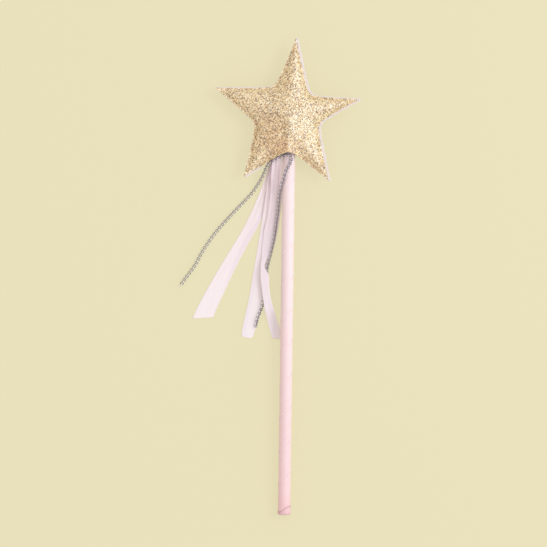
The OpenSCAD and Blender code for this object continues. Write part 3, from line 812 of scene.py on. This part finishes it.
# %% Outline
ARM_STRETCH = np.array([1.016, 0.93, 0.976, 0.986, 1.037, 1.016])
ARM_TURN = np.array([4, 3.6, 4, 0.5, 2, 4])
CORNER_STRETCH = np.array([0.88, 0.9, 1.0688, 1.09, 1.022])
CORNER_TURN = np.array([7, -3.5, -1, 5, 8.5])
STAR_REACH, CORNER_REACH, CORNER_ROUND = 56, 22, 3
tip_reach, tip_angle = STAR_REACH * ARM_STRETCH, 72 * np.arange(6) + ARM_TURN
corner_reach = CORNER_REACH * CORNER_STRETCH
corner_angle = 72 * np.arange(5) + 36 + CORNER_TURN


def sine(degrees):
    return np.sin(np.radians(degrees))


def line_reach(r1, a1, r2, a2, a):
    """Distance at angle a to the line through two points given by reach and angle."""
    return r1 * r2 * sine(a2 - a1) / (r1 * sine(a - a1) + r2 * sine(a2 - a))


def rim(s):
    """Angle, clockwise from the stick's direction, and reach of the rim; s counts the arms."""
    i = np.minimum(np.floor(s).astype(int), 4)
    f = 2 * (s - i)
    a = np.where(f < 1, tip_angle[i] + (corner_angle[i] - tip_angle[i]) * f,
                 corner_angle[i] + (tip_angle[i + 1] - corner_angle[i]) * (f - 1))
    p = line_reach(tip_reach[i], tip_angle[i], corner_reach[i], corner_angle[i], a)
    q = line_reach(corner_reach[i], corner_angle[i], tip_reach[i + 1], tip_angle[i + 1], a)
    return a, (p + q) / 2 + np.sqrt(((p - q) / 2) ** 2 + CORNER_ROUND**2)


rim_s = np.linspace(0, 5, 1201)
rim_a, rim_reach = rim(rim_s)
HEART_R, HEART_POW = 30, 1.3


def contour(x, y):
    """The contour number u of points given from the star's centre."""
    a = (np.degrees(np.arctan2(x, y)) - rim_a[0]) % 360 + rim_a[0]
    reach = rim(np.interp(a, rim_a, rim_s))[1]
    r, low, high = np.hypot(x, y), np.zeros_like(x), np.full_like(x, 1.3)
    for _ in range(40):
        u = (low + high) / 2
        inside = u * (HEART_R + (reach - HEART_R) * u**HEART_POW) < r
        low, high = np.where(inside, u, low), np.where(inside, high, u)
    return u


print("rim reach from", round(rim_reach.min(), 1), "to", round(rim_reach.max(), 1), "mm")

# %% [markdown]
# ## The puffed faces
# The front is a crown that falls to a flat seam, and a ridge over the stick that opens into
# the mouth. The back is the same without the ridge, pressed flat where it lies on the
# table. Sewn corners pull the fabric in, so shallow dents run inwards from them.

# %% Faces
FRONT_CROWN, BACK_CROWN, PANEL_T, SEAM_HALF = 9, 10.3, 0.5, 0.2
LIP_RISE, LIP_DROP = 7.2, 6.3
FOLD_X, FOLD_W, FOLD_SHARE = -0.7, 17, 0.36
FOLD_TOP, FOLD_FADE = 14, 15
RIDGE_TOP, RIDGE_FADE, RIDGE_EVEN = 12, 24, 16
TROUGH_X, TROUGH_HALF, TROUGH_POW, TROUGH_FADE = -5, 14, 3, 32
PUFF_EDGE, PUFF_POW = 0.95, 0.7
EVEN_RADII = (1.7, 3.2)
PULL_DEPTH, PULL_WIDE, PULL_AT, PULL_LONG = 0.8, 4.5, 0.84, 0.13
HOLLOWS, HOLLOW_DEPTH, HOLLOW_WAVE = 14, 0.085, 0.16
OPEN_CORNER = 2
MOUTH_DY = MOUTH_Y - STAR_Y


def smooth(t):
    """A soft step from 0 to 1."""
    c = np.clip(t, 0, 1)
    return c * c * (3 - 2 * c)


def mix(a, b, t):
    """The value between a and b at share t."""
    return a + (b - a) * t


def hump(x, centre, left, right, power):
    """A bump of height 1 that falls to 0 at its left and right reach."""
    s = np.where(x < centre, (centre - x) / left, (x - centre) / right)
    return np.where(s >= 1, 0, 1 - np.minimum(s, 1) ** power)


def puff(u):
    """How far the stuffed fabric stands out at a contour, as a share of the crown."""
    return np.maximum(1 - (np.minimum(u, PUFF_EDGE) / PUFF_EDGE) ** 2, 0) ** PUFF_POW


def soft_puff(x, y, u):
    """The puff, evened out over a few millimetres: stuffed cloth has no edge along an arm."""
    around = [(r * math.sin(a), r * math.cos(a))
              for r in EVEN_RADII for a in np.arange(6) * math.pi / 3]
    even = sum(puff(contour(x + dx, y + dy)) for dx, dy in around) / len(around)
    return mix(puff(u), even, smooth((0.97 - u) / 0.25))


def ridge(x, y):
    """The fabric over the stick: lopsided at the mouth, and even further up."""
    t = smooth((y - MOUTH_DY) / RIDGE_EVEN)
    return LIP_RISE * smooth((RIDGE_TOP - y) / RIDGE_FADE) * hump(
        x, mix(-1, 0, t), mix(19, 18, t), mix(12, 18, t), mix(1.6, 1.3, t))


def fold(x, y):
    """How much the fabric is drawn up over the stick: a sharp fold from the mouth upwards."""
    drawn_up = np.maximum(1 - np.abs(x - FOLD_X) / FOLD_W, 0)
    return 1 + FOLD_SHARE * smooth((FOLD_TOP - y) / FOLD_FADE) * drawn_up


def trough(x, y):
    """The back of the mouth, where stick, ribbons and glue press the fabric down."""
    wide = hump(x, TROUGH_X, TROUGH_HALF, TROUGH_HALF, TROUGH_POW)
    return LIP_DROP * wide * (1 - smooth((y - MOUTH_DY) / TROUGH_FADE))


def either(a, b):
    """The larger of two heights, with a soft change between them."""
    return (a**4 + b**4) ** 0.25


def dents(x, y, u, seed):
    """Slack in the fabric: pulls at the sewn corners, and soft hollows."""
    a = np.degrees(np.arctan2(x, y)) % 360
    out = np.zeros_like(x)
    for k, corner in enumerate(corner_angle % 360):
        if k == OPEN_CORNER:
            continue
        off = (a - corner + 180) % 360 - 180
        out -= (PULL_DEPTH * np.exp(-(off / PULL_WIDE) ** 2)
                * np.exp(-((u - PULL_AT) / PULL_LONG) ** 2))
    rng = np.random.default_rng(seed)
    for _ in range(HOLLOWS):
        kx, ky = rng.normal(0, HOLLOW_WAVE), rng.normal(0, HOLLOW_WAVE)
        phase = rng.uniform(0, 6.28)
        out += HOLLOW_DEPTH * np.sin(kx * x + ky * y + phase) * smooth((0.95 - u) / 0.3)
    return out


def front_face(x, y, u):
    """Height of the front panel's inner side."""
    raised = fold(x, y) * either(FRONT_CROWN * soft_puff(x, y, u), ridge(x, y))
    return SEAM_HALF + np.maximum(raised + dents(x, y, u, 11), 0)


def back_face(x, y, u):
    """Height of the back panel's inner side, which stops above the table."""
    table_z = -(LIFT + (STAR_Y + y) * math.sin(TILT)) / math.cos(TILT)
    hollow = either(BACK_CROWN * soft_puff(x, y, u), trough(x, y)) + dents(x, y, u, 12)
    return np.maximum(table_z + PANEL_T + 0.06, -SEAM_HALF - np.maximum(hollow, 0))


print("crown", FRONT_CROWN, "mm in front,", BACK_CROWN, "mm behind")

# %% [markdown]
# ## Glitter
# Glitter is a coat of small bright flakes that each lie at their own tilt. A bump map
# would lose them in a close view, so the fabric itself is meshed in facets of flake size:
# scattered points, joined by a Delaunay triangulation, each moved a little up or down. The
# finish then gives every flake its own gold, from brown to nearly white, and browner as
# painted shade beside the mouth and on the left side of the ridge.

# %% Glitter finish
glitter, tree, shader = new_finish(
    "glitter_coat", Roughness=0.6, Specular_IOR_Level=0.3, Coat_Weight=1.0, Coat_IOR=2.5)
place = node(tree, "TexCoord").outputs["Object"]
flakes = node(tree, "TexVoronoi", {"feature": "F1"}, Vector=place, Scale=1600.0, Randomness=1.0)
chance = node(tree, "SeparateColor", Color=flakes.outputs["Color"])
tone = ramp(tree, chance.outputs["Red"], (0.0, linear(74, 42, 16)), (0.25, linear(174, 130, 76)),
            (0.55, linear(235, 203, 150)), (0.85, linear(254, 237, 198)),
            (1.0, linear(255, 253, 240)))
# Painted shade: the shade value darkens and browns the gold beside the mouth and left of the
# ridge, where the light falls away.
shade = node(tree, "Attribute", {"attribute_name": "shade"}).outputs["Fac"]
painted_shade_tint = ramp(tree, shade, (0.0, (1, 0.95, 0.82, 1)), (1.0, (0.95, 0.77, 0.56, 1)))
toned = node(tree, "MixRGB", {"blend_type": "MULTIPLY"}, Fac=1.0, Color1=tone, Color2=painted_shade_tint)
tree.links.new(toned.outputs[0], shader.inputs["Base Color"])
gloss = node(tree, "MapRange", Value=chance.outputs["Green"], To_Min=0.2, To_Max=0.45)
tree.links.new(gloss.outputs["Result"], shader.inputs["Coat Roughness"])
scatter = node(tree, "TexWhiteNoise", Vector=flakes.outputs["Position"])
lean = node(tree, "VectorMath", {"operation": "SUBTRACT"})
tree.links.new(scatter.outputs["Color"], lean.inputs[0])
lean.inputs[1].default_value = (0.5, 0.5, 0.5)
less = node(tree, "VectorMath", {"operation": "SCALE"}, Scale=0.6)
tree.links.new(lean.outputs[0], less.inputs[0])
tilted = node(tree, "VectorMath", {"operation": "ADD"})
tree.links.new(node(tree, "NewGeometry").outputs["Normal"], tilted.inputs[0])
tree.links.new(less.outputs[0], tilted.inputs[1])
unit = node(tree, "VectorMath", {"operation": "NORMALIZE"})
tree.links.new(tilted.outputs[0], unit.inputs[0])
tree.links.new(unit.outputs[0], shader.inputs["Coat Normal"])
print("finish", glitter.name)

# %% Star panels
FLAKE = 0.8
FLAKE_RISE = 0.05
NET_HALF, RIM_ROUGH = 62, 0.12


def flake_net(seed):
    """Scattered points over the star, from its centre, and the triangles between them."""
    rng = np.random.default_rng(seed)
    a, reach = rim(np.linspace(0, 5, 521)[:-1])
    reach = reach + rng.normal(0, RIM_ROUGH, len(reach))
    edge = np.column_stack([reach * np.sin(np.radians(a)), reach * np.cos(np.radians(a))])
    across, along = np.meshgrid(np.arange(-NET_HALF, NET_HALF, FLAKE),
                                np.arange(-NET_HALF, NET_HALF, FLAKE * 0.866))
    across[1::2] += FLAKE / 2
    spots = np.column_stack([across.ravel(), along.ravel()])
    spots += rng.uniform(-0.3, 0.3, spots.shape) * FLAKE
    spots = spots[contour(spots[:, 0], spots[:, 1]) < 0.975]
    loop = [(i, (i + 1) % len(edge)) for i in range(len(edge))]
    points, _, faces, *_ = delaunay_2d_cdt(
        [Vector(p) for p in np.vstack([edge, spots])], loop, [], 1, 1e-5)
    return np.array([tuple(p) for p in points]), np.array(faces)


def star_panel(name, seed, face, outside):
    """A closed panel: flaked on its outer side, plain inside; outside is 1 in front."""
    flat, triangles = flake_net(seed)
    x, y = flat.T
    u = contour(x, y)
    level = face(x, y, u)
    jitter = np.random.default_rng(seed + 1).uniform(-1, 1, len(x)) * FLAKE_RISE * (u < 0.99)
    outer = level + outside * (PANEL_T + jitter)
    points = np.vstack([np.column_stack([x, y + STAR_Y, outer]),
                        np.column_stack([x, y + STAR_Y, level])])
    turn = flat[triangles[:, 1]] - flat[triangles[:, 0]]
    other = flat[triangles[:, 2]] - flat[triangles[:, 0]]
    wrong = (turn[:, 0] * other[:, 1] - turn[:, 1] * other[:, 0]) * outside < 0
    triangles[wrong] = triangles[wrong][:, ::-1]
    count = len(flat)
    sides = {(t[i], t[(i + 1) % 3]) for t in triangles.tolist() for i in range(3)}
    walls = [(b, a, a + count, b + count) for a, b in sorted(sides) if (b, a) not in sides]
    faces = triangles.tolist() + (triangles[:, ::-1] + count).tolist() + walls
    panel = piece_from(name, on_wand(points), faces, glitter)
    smooth_face = np.ones(len(faces), bool)
    smooth_face[:len(triangles)] = False
    panel.data.polygons.foreach_set("use_smooth", smooth_face)
    # Painted shade beside the mouth and on the left side of the ridge over the stick.
    by_mouth = np.exp(-((x + 5) / 12) ** 2 - ((y + 23) / 8) ** 2)
    by_ridge = 0.45 * np.exp(-((x + 13) / 10) ** 2 - ((y + 12) / 14) ** 2)
    set_values(panel, "shade", np.tile(by_mouth + by_ridge, 2))
    return panel


for name, cad_node, seed, face, outside, fill in (
        ("star_front", "star_front_panel", 41, front_face, 1, 0.85),
        ("star_back", "star_back_panel", 61, back_face, -1, 0.8)):
    panel = star_panel(name, seed, face, outside)
    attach(panel, "wand")
    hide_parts(cad_node)
    print(panel.name, len(panel.data.vertices), "points,", len(panel.data.polygons), "faces")

# %% [markdown]
# ## The pale edge
# Between the two panels runs a strip of pale felt. It is moved a little to the right, so
# that it stands out more along the right-hand edges, as a painted highlight where those
# edges catch the light. It is a thin band that follows the rim, moved out along the rim's
# own normal, with the slightly wavy edge that scissors leave.

# %% Pale edge
pale_felt, tree, shader = new_finish(
    "pale_felt", Roughness=0.9, Sheen_Weight=0.4, Sheen_Roughness=0.6)
place = node(tree, "TexCoord").outputs["Object"]
fuzz = node(tree, "TexNoise", Vector=place, Scale=1300.0, Detail=6.0, Roughness=0.7)
felt_tones = ((0.3, linear(222, 205, 208)), (0.6, linear(238, 225, 226)),
              (0.8, linear(247, 239, 238)))
colour_and_relief(tree, shader, fuzz.outputs["Fac"], felt_tones, 0.6, 0.0002)
see_through(tree, shader, 0.8)

# EDGE_ASIDE moves the strip to the right, so that its pale rim stands in for the highlight on the
# right-hand edges.
EDGE_OUT, EDGE_IN, EDGE_ASIDE, EDGE_T = 0.8, 1.3, 1.0, 0.26
MOUTH_LEFT, MOUTH_RIGHT = -20.5, 11.5
s = np.linspace(2.5, 7.5, 801)[:-1] % 5
a, reach = rim(s)
line = np.column_stack([reach * np.sin(np.radians(a)), reach * np.cos(np.radians(a))])
way = np.roll(line, -2, axis=0) - np.roll(line, 2, axis=0)
away = np.column_stack([-way[:, 1], way[:, 0]]) / np.linalg.norm(way, axis=1, keepdims=True)
wave = 0.12 * np.sin(np.arange(len(s)) * 0.43) + 0.09 * np.sin(np.arange(len(s)) * 0.171 + 1)
outer_line = line + away * (EDGE_OUT + wave)[:, None] + (EDGE_ASIDE, 0)
inner_line = line - away * EDGE_IN
kept = ~((line[:, 1] < 0) & (line[:, 0] > MOUTH_LEFT) & (line[:, 0] < MOUTH_RIGHT))
rows = []
for p, q in zip(inner_line[kept], outer_line[kept]):
    t = np.linspace(0, 1, 5)[:, None]
    rows.append(np.column_stack([p + (q - p) * t, np.zeros(5)]))
points, faces = thick_strip(np.array(rows), EDGE_T)
star_edge = piece_from("star_edge", on_wand(points + (0, STAR_Y, 0)), faces, pale_felt)
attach(star_edge, "wand")
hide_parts("seam_strip")
print(star_edge.name, len(star_edge.data.polygons), "faces")

# %% [markdown]
# ## The filling
# Loose polyester fibre puffs the star. Only a little of it can be seen, deep in the mouth,
# but the star would look hollow from the butt without it. A lumpy body a little smaller
# than the panels, cut off behind the glue, is enough; hair would cost far more.

# %% Filling
fibre, tree, shader = new_finish(
    "white_fibre", Roughness=0.95, Sheen_Weight=0.5, Sheen_Roughness=0.5)
place = node(tree, "TexCoord").outputs["Object"]
strands = node(tree, "TexNoise", Vector=place, Scale=700.0, Detail=8.0, Roughness=0.75,
               Distortion=2.0)
fibre_tones = ((0.3, (0.74, 0.74, 0.73, 1)), (0.6, (0.9, 0.9, 0.89, 1)))
colour_and_relief(tree, shader, strands.outputs["Fac"], fibre_tones, 0.8, 0.0006)

FILL_GAP, FILL_START = 0.75, MOUTH_Y + 8.4 - STAR_Y
ROUND, RINGS = 180, np.linspace(0.08, 0.88, 14)
s = np.linspace(0, 5, ROUND + 1)[:-1]
a, reach = rim(s)
lumps = np.random.default_rng(71)
layers = {1: [], -1: []}
for u in RINGS:
    r = u * (HEART_R + (reach - HEART_R) * u**HEART_POW)
    x, y = r * np.sin(np.radians(a)), np.maximum(r * np.cos(np.radians(a)), FILL_START)
    num = np.full_like(x, u)
    room = front_face(x, y, num) - back_face(x, y, num)
    soft = lumps.uniform(0.0, 0.35, (2, ROUND)) * np.minimum(room / 4, 1)
    over = np.minimum(FILL_GAP, 0.3 * room)
    layers[1].append(np.column_stack([x, y + STAR_Y, front_face(x, y, num) - over - soft[0]]))
    layers[-1].append(np.column_stack([x, y + STAR_Y, back_face(x, y, num) + over + soft[1]]))
half_count = ROUND * len(RINGS)
points = np.vstack(layers[1] + layers[-1])
upper = grid_faces(len(RINGS), ROUND, close_columns=True)
faces = upper + [tuple(n + half_count for n in f[::-1]) for f in upper]
rim_row = half_count - ROUND
for j in range(ROUND):
    k = (j + 1) % ROUND
    faces.append((rim_row + j, rim_row + k, rim_row + k + half_count, rim_row + j + half_count))
faces.append(tuple(range(ROUND))[::-1])
faces.append(tuple(half_count + j for j in range(ROUND)))
stuffing = piece_from("star_stuffing", on_wand(points), faces, fibre)
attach(stuffing, "wand")
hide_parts("star_filling")
print(stuffing.name, len(stuffing.data.polygons), "faces")
